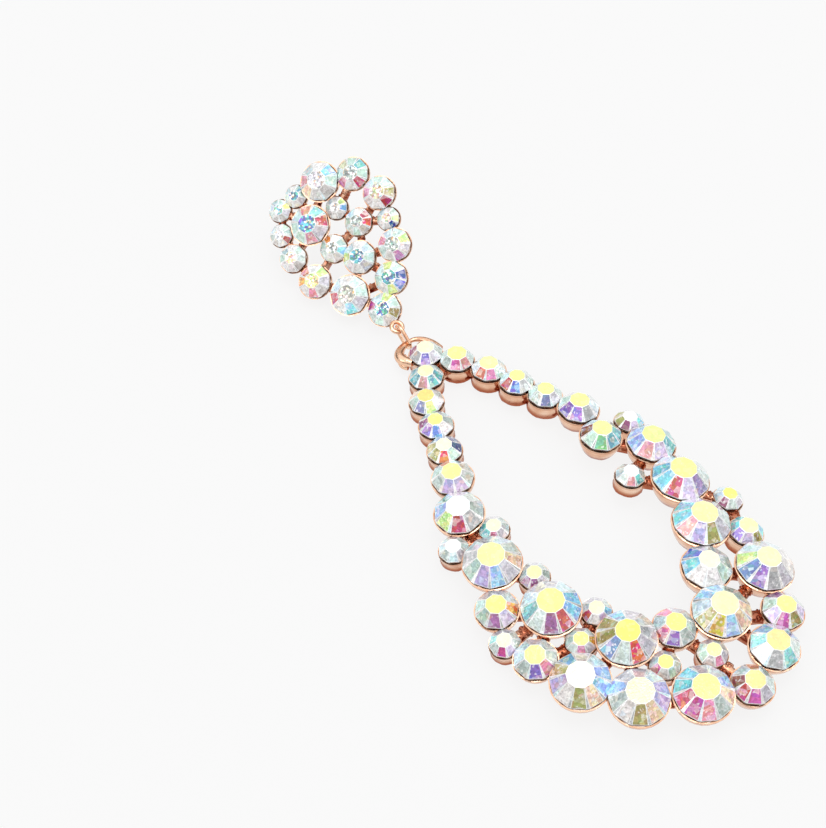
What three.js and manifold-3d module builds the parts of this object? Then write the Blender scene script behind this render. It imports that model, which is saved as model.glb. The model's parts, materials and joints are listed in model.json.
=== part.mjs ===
// A teardrop statement earring, lying as it was laid down: an open, slightly domed drop of cup-set
// crystals hangs by an oval link from a stud of the same crystals, which leans on its own post.
// Millimetres, +Z up. +Y runs from the drop to the stud, and the surface that it lies on is Z = 0.

import * as THREE from 'three';
import { mergeVertices } from 'three/addons/utils/BufferGeometryUtils.js';
import Module from 'manifold-3d';

const wasm = await Module();
wasm.setup();

// Driving dimensions of the drop
const DROP_LENGTH = 79;        // over the stones, top to bottom
const DROP_WIDTH = 45;         // over the stones, side to side
const BOW_ACROSS = 2.2;        // how far the drop's sides lie below its middle
const BOW_ALONG = 2.6;         // how far its ends lie below its middle
const BOW_CENTRE = 0.52;       // where the middle of the bow lies, as a share of the length

// Driving dimensions of the stud
const STUD_LENGTH = 28;        // over the stones, top to bottom
const STUD_WIDTH = 22;         // over the stones, side to side
const STUD_TURN = -3;          // degrees that the stud is turned on the surface
const STUD_FACES = -152;       // degrees from across: the way that its front faces as it leans

// Stone diameters, over the girdle
const BIG = 8.1;
const LARGE = 6.9;
const MEDIUM = 5.8;
const SMALL = 4.8;
const TINY = 4.0;
const SEED = 3.2;

// Cut of a stone: the heights and the table are shares of its diameter
const TABLE_SHARE = 0.53;
const CROWN_SHARE = 0.22;
const BACK_SHARE = 0.28;
const GIRDLE = 0.3;

// Cups: round cast settings, one for each stone
const SEAT_CLEARANCE = 0.15;   // between a girdle and its cup
const STONE_GAP = 0.2;         // least gap between two stones
const CUP_WALL = 0.45;
const CUP_FLOOR = 1.3;         // metal under the point of a stone
const CUP_DEPTH_SHARE = 0.3;   // deeper cups for bigger stones, a share of the diameter
const CUP_TAPER = 0.93;        // the foot of a cup over its rim
const RIM_STEP = 0.2;          // the rim stands this far under the girdle's top
const CUP_SIDES = 14;
const SMALL_CUP_SIDES = 12;    // of the cups up to the medium size

// Solder webs between neighbouring cups
const WEB_REACH = 1.8;         // widest gap between two cups that a web spans
const CUP_OVERLAP = 0.25;      // cups that overlap this much need no web
const WEB_WIDTH = 1.9;
const WEB_HEIGHT = 1.6;
const WEB_LIFT = 0.35;         // the webs' underside over the cups' feet

// Bail, eye and link
const BAIL_WIRE = 0.7;
const LINK_WIRE = 0.6;
const LINK_CLEARANCE = 0.25;
const BAIL_HEIGHT = 2.1;       // of the bail's wire over the foot of the top cup
const EYE_TILT = 4;            // degrees that the eye is bent up from its cup
const EYE_ROLL = 30;           // degrees that it is rolled, which levels it for the link
const LINK_SLIDE = -0.7;       // the link has slid this far across on the bail
const EYE_STEP = [-0.1, 1.6];  // from the bail's wire to the eye's wire, across and along

// Ear post
const POST_DIAMETER = 0.8;
const POST_LENGTH = 11.3;      // behind the stud's back
const POST_PAD_DIAMETER = 2.6;
const POST_PAD = 0.5;
const POST_GAP = 0.15;
const POST_STONE = 'seed_4';   // the cup whose foot carries the post

// Facets of a stone by its diameter
const FACETS = new Map([[BIG, 12], [LARGE, 12], [MEDIUM, 10], [SMALL, 8], [TINY, 8], [SEED, 8]]);

// Stones of the drop. across is a share of half the width from the middle line, along a share of
// the length from the top stone's centre.
const DROP_STONES = [
  { name: 'top', size: SMALL, across: 0.01, along: 0 },
  { name: 'left_1', size: SMALL, across: -0.122, along: 0.054 },
  { name: 'left_2', size: SMALL, across: -0.246, along: 0.109 },
  { name: 'left_3', size: SMALL, across: -0.315, along: 0.166 },
  { name: 'left_4', size: SMALL, across: -0.39, along: 0.223 },
  { name: 'left_5', size: MEDIUM, across: -0.48, along: 0.284 },
  { name: 'left_6', size: LARGE, across: -0.602, along: 0.362 },
  { name: 'left_7', size: BIG, across: -0.674, along: 0.491 },
  { name: 'left_8', size: MEDIUM, across: -0.826, along: 0.564 },
  { name: 'left_9', size: BIG, across: -0.568, along: 0.624 },
  { name: 'left_10', size: MEDIUM, across: -0.843, along: 0.684 },
  { name: 'left_11', size: BIG, across: -0.309, along: 0.746 },
  { name: 'left_12', size: BIG, across: -0.724, along: 0.765 },
  { name: 'bottom_1', size: BIG, across: -0.502, along: 0.85 },
  { name: 'bottom_2', size: MEDIUM, across: -0.028, along: 0.776 },
  { name: 'bottom_3', size: BIG, across: -0.158, along: 0.909 },
  { name: 'bottom_4', size: MEDIUM, across: 0.148, along: 0.939 },
  { name: 'right_1', size: SMALL, across: 0.144, along: 0.049 },
  { name: 'right_2', size: SMALL, across: 0.264, along: 0.107 },
  { name: 'right_3', size: SMALL, across: 0.349, along: 0.166 },
  { name: 'right_4', size: SMALL, across: 0.434, along: 0.223 },
  { name: 'right_5', size: MEDIUM, across: 0.546, along: 0.287 },
  { name: 'right_6', size: MEDIUM, across: 0.519, along: 0.366 },
  { name: 'right_7', size: LARGE, across: 0.756, along: 0.438 },
  { name: 'right_8', size: BIG, across: 0.717, along: 0.531 },
  { name: 'right_9', size: BIG, across: 0.603, along: 0.63 },
  { name: 'right_10', size: SMALL, across: 0.849, along: 0.68 },
  { name: 'right_11', size: LARGE, across: 0.445, along: 0.706 },
  { name: 'right_12', size: BIG, across: 0.755, along: 0.764 },
  { name: 'right_13', size: BIG, across: 0.309, along: 0.789 },
  { name: 'right_14', size: MEDIUM, across: 0.644, along: 0.853 },
  { name: 'right_15', size: LARGE, across: 0.44, along: 0.9 },
  { name: 'tiny_left_1', size: TINY, across: -0.785, along: 0.415 },
  { name: 'tiny_left_2', size: TINY, across: -0.519, along: 0.425 },
  { name: 'tiny_left_3', size: TINY, across: -0.508, along: 0.551 },
  { name: 'tiny_left_4', size: TINY, across: -0.903, along: 0.622 },
  { name: 'tiny_left_5', size: TINY, across: -0.337, along: 0.676 },
  { name: 'tiny_left_6', size: TINY, across: -0.544, along: 0.7 },
  { name: 'tiny_bottom_1', size: TINY, across: -0.217, along: 0.823 },
  { name: 'tiny_bottom_2', size: TINY, across: 0.082, along: 0.851 },
  { name: 'tiny_right_1', size: TINY, across: 0.773, along: 0.368 },
  { name: 'tiny_right_2', size: TINY, across: 0.482, along: 0.469 },
  { name: 'tiny_right_3', size: TINY, across: 0.928, along: 0.603 },
];

// Stones of the stud. across is a share of half the width, along a share of half the length, both
// from the middle of the stud.
const STUD_STONES = [
  { name: 'medium_1', size: MEDIUM, across: 0.168, along: 0.8 },
  { name: 'medium_2', size: MEDIUM, across: -0.307, along: 0.475 },
  { name: 'medium_3', size: MEDIUM, across: -0.443, along: -0.456 },
  { name: 'small_1', size: SMALL, across: 0.625, along: 0.623 },
  { name: 'small_2', size: SMALL, across: 0.769, along: 0.251 },
  { name: 'small_3', size: SMALL, across: -0.743, along: -0.068 },
  { name: 'small_4', size: SMALL, across: -0.015, along: -0.18 },
  { name: 'small_5', size: SMALL, across: 0.502, along: -0.334 },
  { name: 'small_6', size: SMALL, across: 0.178, along: -0.605 },
  { name: 'small_7', size: SMALL, across: -0.163, along: -0.835 },
  { name: 'tiny_1', size: TINY, across: -0.805, along: 0.31 },
  { name: 'tiny_2', size: TINY, across: 0.278, along: 0.147 },
  { name: 'tiny_3', size: TINY, across: -0.237, along: 0.089 },
  { name: 'seed_1', size: SEED, across: -0.234, along: 0.862 },
  { name: 'seed_2', size: SEED, across: -0.553, along: 0.852 },
  { name: 'seed_3', size: SEED, across: -0.75, along: 0.616 },
  { name: 'seed_4', size: SEED, across: 0.138, along: 0.446 },
  { name: 'seed_5', size: SEED, across: 0.647, along: -0.041 },
];

const roseGold = new THREE.MeshStandardMaterial({
  color: 0xd9a07a, roughness: 0.3, metalness: 1, flatShading: true });
const steel = new THREE.MeshStandardMaterial({
  color: 0x8f8f8c, roughness: 0.35, metalness: 1, flatShading: true });
const crystal = new THREE.MeshStandardMaterial({
  color: 0xe9efc9, roughness: 0.08, metalness: 0, flatShading: true });

// Solids
function toSolid(geometry) {
  const bare = geometry.clone();
  bare.deleteAttribute('normal');
  bare.deleteAttribute('uv');
  const merged = mergeVertices(bare, 1e-5);
  const index = merged.index.array;
  const triangles = [];
  for (let i = 0; i < index.length; i += 3) {
    const [a, b, c] = [index[i], index[i + 1], index[i + 2]];
    if (a !== b && b !== c && c !== a) triangles.push(a, b, c);
  }
  return new wasm.Manifold(new wasm.Mesh({
    numProp: 3,
    vertProperties: new Float32Array(merged.attributes.position.array),
    triVerts: new Uint32Array(triangles),
  }));
}

function toGeometry(solid) {
  const mesh = solid.getMesh();
  const geometry = new THREE.BufferGeometry();
  geometry.setAttribute('position', new THREE.BufferAttribute(mesh.vertProperties, 3));
  geometry.setIndex(new THREE.BufferAttribute(mesh.triVerts, 1));
  return geometry;
}

function spun(profile, sides) {
  const points = profile.map(([radius, height]) => new THREE.Vector2(radius, height));
  return new THREE.LatheGeometry(points, sides).rotateX(Math.PI / 2);
}

// The radius of a polygon's corners when its flats lie at the given radius.
const cornerRadius = (flats, sides) => flats / Math.cos(Math.PI / sides);

// Seats: where each stone's girdle lies, and how its cup stands
const girdleHeight = (size) => CUP_FLOOR + CUP_DEPTH_SHARE * size;
const cupRadius = (size) => size / 2 + SEAT_CLEARANCE + CUP_WALL;
const isFused = (size) => size <= TINY;

function easeApart(seats) {
  const rounds = 60;
  for (let round = 0; round < rounds; round++) {
    seats.forEach((a, i) => seats.slice(i + 1).forEach((b) => {
      const step = new THREE.Vector2(b.x - a.x, b.y - a.y);
      const lack = (a.size + b.size) / 2 + STONE_GAP - step.length();
      if (lack <= 0) return;
      step.setLength(lack / 2);
      a.x -= step.x;
      a.y -= step.y;
      b.x += step.x;
      b.y += step.y;
    }));
  }
  return seats;
}

function bow(x, y) {
  const across = x / (DROP_WIDTH / 2);
  const along = (y + BOW_CENTRE * DROP_LENGTH) / (DROP_LENGTH / 2);
  return -BOW_ACROSS * across ** 2 - BOW_ALONG * along ** 2;
}

function bowNormal(x, y) {
  const across = 2 * BOW_ACROSS * x / (DROP_WIDTH / 2) ** 2;
  const along = 2 * BOW_ALONG * (y + BOW_CENTRE * DROP_LENGTH) / (DROP_LENGTH / 2) ** 2;
  return new THREE.Vector3(across, along, 1).normalize();
}

function dropSeats() {
  const seats = easeApart(DROP_STONES.map((row) => ({
    name: row.name,
    size: row.size,
    x: row.across * DROP_WIDTH / 2,
    y: -row.along * DROP_LENGTH,
  })));
  return seats.map((seat) => {
    const up = bowNormal(seat.x, seat.y);
    const turn = new THREE.Quaternion().setFromUnitVectors(new THREE.Vector3(0, 0, 1), up);
    const girdle = new THREE.Vector3(seat.x, seat.y, bow(seat.x, seat.y) + girdleHeight(seat.size));
    return { ...seat, turn, up, foot: girdle.clone().addScaledVector(up, -girdleHeight(seat.size)) };
  });
}

function studSeats() {
  const seats = easeApart(STUD_STONES.map((row) => ({
    name: row.name,
    size: row.size,
    x: row.across * STUD_WIDTH / 2,
    y: row.along * STUD_LENGTH / 2,
  })));
  return seats.map((seat) => ({
    ...seat,
    turn: new THREE.Quaternion(),
    up: new THREE.Vector3(0, 0, 1),
    foot: new THREE.Vector3(seat.x, seat.y, 0),
  }));
}

function atSeat(geometry, seat) {
  return geometry.applyQuaternion(seat.turn).translate(seat.foot.x, seat.foot.y, seat.foot.z);
}

// Stones
function stoneGeometry(size) {
  const top = girdleHeight(size);
  const profile = [
    [0, top - GIRDLE - BACK_SHARE * size],
    [size / 2, top - GIRDLE],
    [size / 2, top],
    [TABLE_SHARE * size / 2, top + CROWN_SHARE * size],
    [0, top + CROWN_SHARE * size],
  ];
  return spun(profile, FACETS.get(size));
}

// Cups and the hollows that the stones sit in
const cupSides = (size) => (size <= MEDIUM ? SMALL_CUP_SIDES : CUP_SIDES);

function cupGeometry(size) {
  const rim = girdleHeight(size) - RIM_STEP;
  const radius = cupRadius(size);
  const cup = new THREE.CylinderGeometry(radius, CUP_TAPER * radius, rim, cupSides(size));
  return cup.rotateX(Math.PI / 2).translate(0, 0, rim / 2);
}

function hollowGeometry(size) {
  const sides = cupSides(size);
  const radius = cornerRadius(size / 2 + SEAT_CLEARANCE, sides);
  const top = girdleHeight(size) + CROWN_SHARE * size + CUP_WALL;
  const floor = girdleHeight(size) - GIRDLE - BACK_SHARE * size - SEAT_CLEARANCE;
  const hollow = new THREE.CylinderGeometry(radius, radius, top - floor, sides);
  return hollow.rotateX(Math.PI / 2).translate(0, 0, (top + floor) / 2);
}

// Solder webs
function crossesCup(a, b, seats) {
  const line = new THREE.Line3(a.foot, b.foot);
  const nearest = new THREE.Vector3();
  return seats.some((other) => {
    if (other === a || other === b) return false;
    line.closestPointToPoint(other.foot, true, nearest);
    return nearest.distanceTo(other.foot) < cupRadius(other.size);
  });
}

function webGeometry(a, b) {
  const lift = WEB_LIFT + WEB_HEIGHT / 2;
  const start = a.foot.clone().addScaledVector(a.up, lift);
  const end = b.foot.clone().addScaledVector(b.up, lift);
  const web = new THREE.BoxGeometry(WEB_WIDTH, WEB_HEIGHT, start.distanceTo(end));
  const frame = new THREE.Object3D();
  frame.up.set(0, 0, 1);
  frame.position.copy(start).lerp(end, 0.5);
  frame.lookAt(end);
  frame.updateMatrix();
  return web.applyMatrix4(frame.matrix);
}

function webs(seats) {
  const made = [];
  seats.forEach((a, i) => seats.slice(i + 1).forEach((b) => {
    const gap = a.foot.distanceTo(b.foot) - cupRadius(a.size) - cupRadius(b.size);
    const spanned = gap > -CUP_OVERLAP && gap < WEB_REACH;
    if (spanned && !crossesCup(a, b, seats)) made.push(webGeometry(a, b));
  }));
  return made;
}

// A casting: cups, webs and loops joined and hollowed for the stones. The smallest stones are set
// fast in it.
function casting(seats, loops) {
  const bodies = seats.map((seat) => atSeat(cupGeometry(seat.size), seat));
  let metal = [...bodies, ...webs(seats), ...loops].map(toSolid).reduce((all, one) => all.add(one));
  for (const seat of seats) {
    metal = isFused(seat.size)
      ? metal.add(toSolid(atSeat(stoneGeometry(seat.size), seat)))
      : metal.subtract(toSolid(atSeat(hollowGeometry(seat.size), seat)));
  }
  return metal;
}

// Loops: the link passes round the bail's wire and the eye's wire, each this far from its cup
const linkBend = BAIL_WIRE / 2 + LINK_CLEARANCE + LINK_WIRE / 2;
const eyeReach = LINK_CLEARANCE + LINK_WIRE / 2 + linkBend;
const loopReach = (size) => cupRadius(size) + eyeReach;
const bailHalfWidth = (size) => cupRadius(size) - CUP_WALL / 2;
const eyeHeight = (size) => girdleHeight(size) - RIM_STEP / 2;

class BailCurve extends THREE.Curve {
  constructor(halfWidth, height) {
    super();
    this.halfWidth = halfWidth;
    this.height = height;
  }

  getPoint(t, target = new THREE.Vector3()) {
    const angle = Math.PI * t;
    return target.set(this.halfWidth * Math.cos(angle), this.height * Math.sin(angle), 0);
  }
}

function roundSection(wire, sides) {
  const section = new THREE.Shape();
  for (let i = 0; i < sides; i++) {
    const angle = 2 * Math.PI * i / sides;
    const [x, y] = [wire / 2 * Math.cos(angle), wire / 2 * Math.sin(angle)];
    if (i === 0) section.moveTo(x, y);
    else section.lineTo(x, y);
  }
  return section;
}

function bailGeometry(size) {
  const curve = new BailCurve(bailHalfWidth(size), loopReach(size));
  const bail = new THREE.ExtrudeGeometry(roundSection(BAIL_WIRE, 6), {
    extrudePath: curve, steps: 12 });
  return bail.translate(0, 0, BAIL_HEIGHT);
}

// From the eye's own plane, in which its cup's wall is at the origin, to the stud
function eyePlace(seat) {
  const bent = new THREE.Matrix4().makeRotationX(-THREE.MathUtils.degToRad(EYE_TILT));
  bent.multiply(new THREE.Matrix4().makeRotationY(THREE.MathUtils.degToRad(EYE_ROLL)));
  return bent.setPosition(seat.x, seat.y - cupRadius(seat.size), eyeHeight(seat.size));
}

function eyeGeometry(seat) {
  const eye = new THREE.TorusGeometry(linkBend, BAIL_WIRE / 2, 6, 12);
  return eye.translate(0, linkBend - eyeReach, 0).applyMatrix4(eyePlace(seat));
}

function linkGeometry(reach) {
  const bends = 14;
  const ring = new THREE.TorusGeometry(linkBend, LINK_WIRE / 2, 6, bends);
  const place = ring.attributes.position;
  for (let i = 0; i < place.count; i++) {
    place.setX(i, place.getX(i) + Math.sign(place.getX(i)) * reach / 2);
  }
  return ring;
}

// Ear post, pointing down from the stud's back
function postGeometry() {
  const tip = POST_DIAMETER / 4;
  const profile = [
    [0, -POST_LENGTH],
    [tip, -POST_LENGTH],
    [POST_DIAMETER / 2, -POST_LENGTH + tip],
    [POST_DIAMETER / 2, -POST_GAP - POST_PAD],
    [POST_PAD_DIAMETER / 2, -POST_GAP - POST_PAD],
    [POST_PAD_DIAMETER / 2, -POST_GAP],
    [0, -POST_GAP],
  ];
  return spun(profile, 12);
}

// Placing
function named(name, geometry, material) {
  const mesh = new THREE.Mesh(geometry, material);
  mesh.name = name;
  return mesh;
}

function lowest(geometry, matrix) {
  const turned = geometry.clone().applyMatrix4(matrix);
  turned.computeBoundingBox();
  return turned.boundingBox.min.z;
}

// The stud's tip towards the way that it faces, by an angle from lying flat.
function leaning(angle) {
  const faces = THREE.MathUtils.degToRad(STUD_FACES);
  const axis = new THREE.Vector3(-Math.sin(faces), Math.cos(faces), 0);
  return new THREE.Matrix4().makeRotationAxis(axis, angle);
}

// The lean at which the post's tip and the stud's lowest cup both touch the surface.
function restingLean(studMetal, post) {
  let [low, high] = [0.1, 1.2];
  for (let i = 0; i < 40; i++) {
    const lean = (low + high) / 2;
    const matrix = leaning(lean);
    if (lowest(post, matrix) > lowest(studMetal, matrix)) high = lean;
    else low = lean;
  }
  return (low + high) / 2;
}

function stones(prefix, seats) {
  return seats.filter(({ size }) => !isFused(size)).map((seat) => {
    const cut = toGeometry(toSolid(stoneGeometry(seat.size)));
    const stone = named(`${prefix}_stone_${seat.name}`, cut, crystal);
    stone.quaternion.copy(seat.turn);
    stone.position.copy(seat.foot);
    return stone;
  });
}

function buildDrop() {
  const seats = dropSeats();
  const top = seats.find(({ name }) => name === 'top');
  const metal = toGeometry(casting(seats, [atSeat(bailGeometry(top.size), top)]));
  const drop = new THREE.Group();
  drop.add(named('drop_frame', metal, roseGold), ...stones('drop', seats));
  drop.position.z = -lowest(metal, new THREE.Matrix4());
  const reach = loopReach(top.size) * Math.sqrt(1 - (LINK_SLIDE / bailHalfWidth(top.size)) ** 2);
  const wire = new THREE.Vector3(LINK_SLIDE, reach, BAIL_HEIGHT);
  const bailWire = wire.applyQuaternion(top.turn).add(top.foot).add(drop.position);
  return { drop, bailWire };
}

function buildStud(bailWire) {
  const seats = studSeats();
  const last = seats.find(({ name }) => name === 'small_7');
  const carrier = seats.find(({ name }) => name === POST_STONE);
  const metal = toGeometry(casting(seats, [eyeGeometry(last)]));
  const post = toGeometry(toSolid(postGeometry().translate(carrier.x, carrier.y, 0)));

  const eyeWire = new THREE.Vector3(0, -eyeReach, 0).applyMatrix4(eyePlace(last));
  const matrix = leaning(restingLean(metal, post));
  matrix.premultiply(new THREE.Matrix4().makeRotationZ(THREE.MathUtils.degToRad(STUD_TURN)));
  eyeWire.applyMatrix4(matrix);

  const stud = new THREE.Group();
  stud.add(named('stud_frame', metal, roseGold), named('ear_post', post, steel));
  stud.add(...stones('stud', seats));
  stud.quaternion.setFromRotationMatrix(matrix);
  stud.position.set(
    bailWire.x + EYE_STEP[0] - eyeWire.x,
    bailWire.y + EYE_STEP[1] - eyeWire.y,
    -Math.min(lowest(metal, matrix), lowest(post, matrix)),
  );
  return { stud, eyeWire: eyeWire.add(stud.position) };
}

function buildLink(bailWire, eyeWire) {
  const ring = toGeometry(toSolid(linkGeometry(bailWire.distanceTo(eyeWire))));
  const link = named('link_ring', ring, roseGold);
  const along = eyeWire.clone().sub(bailWire).normalize();
  const side = new THREE.Vector3(0, 0, 1).cross(along).normalize();
  const up = along.clone().cross(side);
  link.quaternion.setFromRotationMatrix(new THREE.Matrix4().makeBasis(along, up, side.negate()));
  link.position.copy(bailWire).lerp(eyeWire, 0.5);
  return link;
}

const { drop, bailWire } = buildDrop();
const { stud, eyeWire } = buildStud(bailWire);
const earring = new THREE.Group();
earring.add(drop, stud, buildLink(bailWire, eyeWire));

// The origin is the middle of the whole earring's footprint, on the surface.
const group = new THREE.Group();
const box = new THREE.Box3().setFromObject(earring, true);
const middle = box.getCenter(new THREE.Vector3());
earring.position.set(-middle.x, -middle.y, -box.min.z);
group.add(earring);
export default group;
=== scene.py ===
import json
import math
import random
from collections import namedtuple

import bmesh
import bpy
import numpy as np
from mathutils import Matrix, Vector

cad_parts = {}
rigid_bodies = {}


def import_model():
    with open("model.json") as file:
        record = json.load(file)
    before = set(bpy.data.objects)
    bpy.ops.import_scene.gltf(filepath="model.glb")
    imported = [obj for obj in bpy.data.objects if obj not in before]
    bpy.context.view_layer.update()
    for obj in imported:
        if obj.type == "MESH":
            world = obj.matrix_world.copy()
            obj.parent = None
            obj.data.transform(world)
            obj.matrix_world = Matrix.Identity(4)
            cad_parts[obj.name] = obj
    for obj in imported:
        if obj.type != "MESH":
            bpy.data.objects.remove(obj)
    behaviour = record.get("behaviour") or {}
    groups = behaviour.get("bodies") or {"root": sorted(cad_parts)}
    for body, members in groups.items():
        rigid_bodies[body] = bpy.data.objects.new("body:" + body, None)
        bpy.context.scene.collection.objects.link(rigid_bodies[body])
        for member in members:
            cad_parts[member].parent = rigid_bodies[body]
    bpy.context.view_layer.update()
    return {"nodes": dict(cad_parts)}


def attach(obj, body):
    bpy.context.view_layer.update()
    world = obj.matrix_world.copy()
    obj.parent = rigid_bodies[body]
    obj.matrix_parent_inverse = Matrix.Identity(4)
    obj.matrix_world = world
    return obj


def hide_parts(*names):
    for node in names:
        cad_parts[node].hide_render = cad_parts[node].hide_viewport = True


for left_over in list(bpy.data.objects):
    bpy.data.objects.remove(left_over)
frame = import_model()
MM = 0.001

# Seats
# Each stone sits level in a cup of its own. The larger stones' places are read from their own
# solids, and the smallest stones' from the flat eight-sided tops that they raise on the castings.
BIG, LARGE, MEDIUM, SMALL, TINY, SEED = 8.1, 6.9, 5.8, 4.8, 4.0, 3.2   # across the girdle
TABLE_SHARE = 0.53        # a table's width and a crown's height, of the stone's size
CROWN_SHARE = 0.22
TOP_MATCH = 0.02          # how nearly a raised top's corners have to fit a table of its size
AT_GIRDLE = 0.98          # corners that reach this share of the farthest one are on the girdle
WELD = 0.001 * MM         # corners nearer than this are one

Seat = namedtuple("Seat", "name size centre up")   # the centre lies level with the girdle's top


def solid_corners(name):
    corners = np.array([vertex.co[:] for vertex in frame["nodes"][name].data.vertices])
    return np.unique(np.round(corners, 7), axis=0)


def seat_of_stone(name):
    corners = solid_corners(name)
    middle = corners.mean(axis=0)
    up = np.linalg.svd(corners - middle)[2][2]
    up = up * np.sign(up[2])
    rise = (corners - middle) @ up
    reach = np.linalg.norm(corners - middle - np.outer(rise, up), axis=1)
    girdle = rise[reach > AT_GIRDLE * reach.max()].max()
    return Seat(name, round(2 * reach.max() / MM, 1), Vector(middle + girdle * up), Vector(up))


def seats_of_small_stones(casting, names):
    shape = bmesh.new()
    shape.from_mesh(frame["nodes"][casting].data)
    bmesh.ops.remove_doubles(shape, verts=shape.verts, dist=WELD)
    bmesh.ops.dissolve_limit(shape, angle_limit=math.radians(0.5), verts=shape.verts,
                             edges=shape.edges)
    found = []
    for face in shape.faces:
        centre = face.calc_center_median()
        reach = [(vertex.co - centre).length / MM for vertex in face.verts]
        for size in (TINY, SEED):
            misfit = max(abs(r - TABLE_SHARE * size / 2) for r in reach)
            if len(reach) == 8 and misfit < TOP_MATCH:
                up = face.normal.copy()
                found.append((size, centre - up * CROWN_SHARE * size * MM, up))
    shape.free()
    found.sort(key=lambda one: -one[1].y)
    return [Seat(name, *one) for name, one in zip(names, found, strict=True)]


DROP_TINY = [f"tiny_{i}" for i in range(1, 12)]
STUD_TINY = [f"tiny_{i}" for i in range(12, 20)]
drop_large = [seat_of_stone(name) for name in frame["nodes"] if name.startswith("drop_stone")]
stud_large = [seat_of_stone(name) for name in frame["nodes"] if name.startswith("stud_stone")]
drop_small = seats_of_small_stones("drop_frame", DROP_TINY)
stud_small = seats_of_small_stones("stud_frame", STUD_TINY)

# Castings
# The drop and the stud are each one rose-gold plated casting of zinc alloy. Every stone has a
# round cup with a thin bright rim, bowl-shaped or drawn in to a waist, and short thick webs with
# cast grains on them join the cups.
CUP_WALL = 0.2
CUP_BEYOND_STONE = 0.4    # from a stone's own edge to the outside of its cup's rim
CUP_DEPTH = 1.3           # from the foot to the girdle, with CUP_DEPTH_SHARE of the stone's size
CUP_DEPTH_SHARE = 0.3
RIM_UNDER_GIRDLE = 0.4
RIM_ROUNDING = 0.3        # of the wall
CUP_FLOOR = 1.0
FLOOR_OVER_FOOT = 0.06
CUP_SIDES, WALL_STEPS = 28, 22
DROP_TAPER = {BIG: 0.68, LARGE: 0.68, MEDIUM: 0.72, SMALL: 0.9, TINY: 0.9}   # foot, to the rim
STUD_TAPER = {MEDIUM: 0.66, SMALL: 0.66, TINY: 0.68, SEED: 0.68}
BOWL_TAPER = 0.8          # a cup with less taper than this is a bowl, the others have a waist
BOWL = 1.6                # how full the bowl is

# A waisted cup's wall: the height over its foot, and how far it has opened from foot to rim
WAIST = ((0, 0.25), (0.08, 0.62), (0.2, 0.55), (0.34, 0.1), (0.6, 0.42), (0.88, 0.86), (1, 1))

DROP_WEB, STUD_WEB = 2.3, 1.5   # the webs' widths at their ends
WEB_WAIST = 0.2           # the share that a web loses in its middle
WEB_HEIGHT = 2.0
WEB_ROUNDING = 0.3        # of the height
WEB_LIFT = 0.35
WEB_REACH = 1.8           # the widest gap between two cups that a web spans
WEB_STEPS, WEB_SIDES = 9, 14
GRAIN = 0.24              # the cast grains' radius, which runs from GRAIN_LEAST to GRAIN_MOST of it
GRAIN_LEAST, GRAIN_MOST = 0.55, 1.25
GRAINS = 3.2e6            # over a square metre
WIRE_SIDES = 16
SHARP = math.radians(38)  # edges sharper than this stay sharp in the shading

ROSE_GOLD = ((0.3, (216, 160, 128)), (0.5, (238, 192, 160)), (0.72, (252, 220, 194)))
PAINTED_SHADE_RED_BROWN = (152, 58, 18)

# How much painted shade, in a deep red brown, the plating shows by the depth in a cup and on a web:
# none on the rim, a dark line just under it, then more towards the foot
PAINTED_SHADE_BY_DEPTH = ((0.05, (0, 0, 0)), (0.1, (190, 190, 190)), (0.18, (60, 60, 60)),
                   (0.55, (100, 100, 100)), (0.8, (235, 235, 235)))


def girdle_height(size):
    return CUP_DEPTH + CUP_DEPTH_SHARE * size


def node(tree, kind, sockets=(), **settings):
    """A new node with its settings made, and each socket linked or given its value."""
    made = tree.nodes.new(kind)
    for name, value in settings.items():
        setattr(made, name, value)
    for key, value in dict(sockets).items():
        if isinstance(value, bpy.types.NodeSocket):
            tree.links.new(value, made.inputs[key])
        else:
            made.inputs[key].default_value = value
    return made


def new_tree(name, **sizes):
    """A tree with an input for each size and one for the material."""
    tree = bpy.data.node_groups.new(name, "GeometryNodeTree")
    tree.interface.new_socket("Geometry", in_out="INPUT", socket_type="NodeSocketGeometry")
    for label, kind in {**sizes, "Material": "Material"}.items():
        tree.interface.new_socket(label, in_out="INPUT", socket_type=f"NodeSocket{kind}")
    tree.interface.new_socket("Geometry", in_out="OUTPUT", socket_type="NodeSocketGeometry")
    return tree, tree.nodes.new("NodeGroupInput").outputs


def end_tree(tree, sizes, geometry):
    real = node(tree, "GeometryNodeRealizeInstances", {"Geometry": geometry})
    finish = node(tree, "GeometryNodeSetMaterial", {
        "Geometry": real.outputs[0], "Material": sizes["Material"]})
    node(tree, "NodeGroupOutput", {0: finish.outputs[0]})


def math_of(tree, operation, *values):
    made = node(tree, "ShaderNodeMath", operation=operation)
    for socket, value in zip(made.inputs, values):
        if isinstance(value, bpy.types.NodeSocket):
            tree.links.new(value, socket)
        else:
            socket.default_value = value
    return made.outputs[0]


def grown(tree, mesh, material, **sizes):
    """The plain mesh that a tree makes from a mesh, each size set by its socket's identifier."""
    holder = bpy.data.objects.new(tree.name, mesh)
    bpy.context.scene.collection.objects.link(holder)
    modifier = holder.modifiers.new(tree.name, "NODES")
    modifier.node_group = tree
    for socket in tree.interface.items_tree:
        if socket.in_out == "INPUT" and socket.name != "Geometry":
            value = material if socket.name == "Material" else sizes[socket.name]
            modifier[socket.identifier] = value
    depsgraph = bpy.context.evaluated_depsgraph_get()
    plain = bpy.data.meshes.new_from_object(holder.evaluated_get(depsgraph), depsgraph=depsgraph)
    bpy.data.objects.remove(holder)
    plain.materials.clear()
    return plain


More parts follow.
